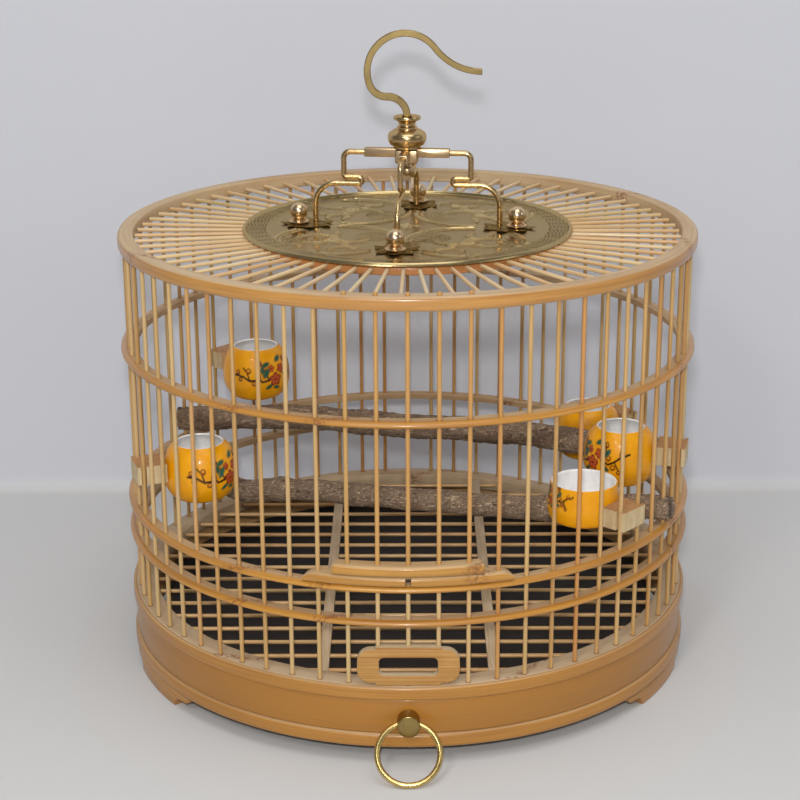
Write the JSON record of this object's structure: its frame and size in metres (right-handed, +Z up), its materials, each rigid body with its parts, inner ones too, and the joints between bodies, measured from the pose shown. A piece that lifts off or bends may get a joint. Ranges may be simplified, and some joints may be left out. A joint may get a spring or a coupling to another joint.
{
  "type": "bamboo bird cage",
  "caption": "Round bamboo bird cage with lifting barred door, pull-out floor drawer, branch perches, glazed cups and a turned brass hanger with a swivelling hook.",
  "frame": {"origin": "on the cage's axis, in the plane of the floor that its feet stand on", "axes": "+Z up along the cage's axis; the door, the port plate and the drawer's knob face -Y; +X is to the right of somebody who faces the door"},
  "size_m": [0.3714, 0.3997, 0.4076],
  "materials": {
    "bamboo": "satin straw-coloured bamboo, fine lengthwise grain",
    "honey_bamboo": "glossy honey-orange lacquered bamboo",
    "tan_board": "satin reddish-tan striped bamboo board",
    "dark_board": "near-black painted board",
    "polished_brass": "polished brass",
    "old_brass": "antique brass sheet with raised relief",
    "glaze": "yellow-orange glaze outside, white inside",
    "block_wood": "matte cut wood",
    "bark": "rough dark bark"
  },
  "bodies": {
    "cage": {"foot_left": "bamboo", "foot_right": "bamboo", "foot_rear": "bamboo", "lower_hoop": "honey_bamboo", "rear_band": "honey_bamboo", "ledge_ring": "bamboo", "upper_bead": "honey_bamboo", "floor_grate": "bamboo", "bar_wall": "bamboo", "hoop_low": "honey_bamboo", "hoop_sill": "honey_bamboo", "top_hoop": "honey_bamboo", "sill_left": "honey_bamboo", "sill_right": "honey_bamboo", "port_plate": "tan_board", "roof_ring": "honey_bamboo", "roof_plate": "old_brass", "petal_front": "polished_brass", "petal_right": "polished_brass", "petal_back": "polished_brass", "petal_left": "polished_brass", "ball_bolt_front": "polished_brass", "ball_bolt_right": "polished_brass", "ball_bolt_back": "polished_brass", "ball_bolt_left": "polished_brass", "under_nut_front": "polished_brass", "under_nut_right": "polished_brass", "under_nut_back": "polished_brass", "under_nut_left": "polished_brass", "arm_front": "polished_brass", "arm_right": "polished_brass", "arm_back": "polished_brass", "arm_left": "polished_brass", "hanger_cross": "polished_brass", "hub": "polished_brass", "hub_finial": "polished_brass", "cup_back_left": "glaze", "cup_left": "glaze", "cup_back_right": "glaze", "cup_right": "glaze", "cup_front_low": "glaze", "block_back_left": "block_wood", "block_left": "block_wood", "block_back_right": "block_wood", "block_right": "block_wood", "block_front_low": "block_wood", "perch_rear": "bark", "perch_front": "bark"},
    "door": {"door_rail": "honey_bamboo", "door_bar_1": "bamboo", "door_bar_2": "bamboo", "door_bar_3": "bamboo", "door_bar_4": "bamboo", "door_bar_5": "bamboo"},
    "drawer": {"drawer_front": "honey_bamboo", "drawer_tray": "dark_board", "knob": "polished_brass", "knob_nut": "polished_brass"},
    "pull_ring": {"pull_ring": "polished_brass"},
    "hook": {"hook": "polished_brass"}
  },
  "joints": [
    {"name": "door_slide", "type": "slide", "parent": "cage", "child": "door", "axis": [0, 0, 1], "range_m": [0, 0.083]},
    {"name": "drawer_slide", "type": "slide", "parent": "cage", "child": "drawer", "axis": [0, -1, 0], "range_m": [0, 0.3]},
    {"name": "ring_hinge", "type": "hinge", "parent": "drawer", "child": "pull_ring", "pos_m": [0, -0.1887, 0.029], "axis": [-1, 0, 0], "range_deg": [0, 130]},
    {"name": "hook_swivel", "type": "hinge", "parent": "cage", "child": "hook", "pos_m": [0, 0, 0.35405], "axis": [0, 0, 1], "continuous": true}
  ]
}
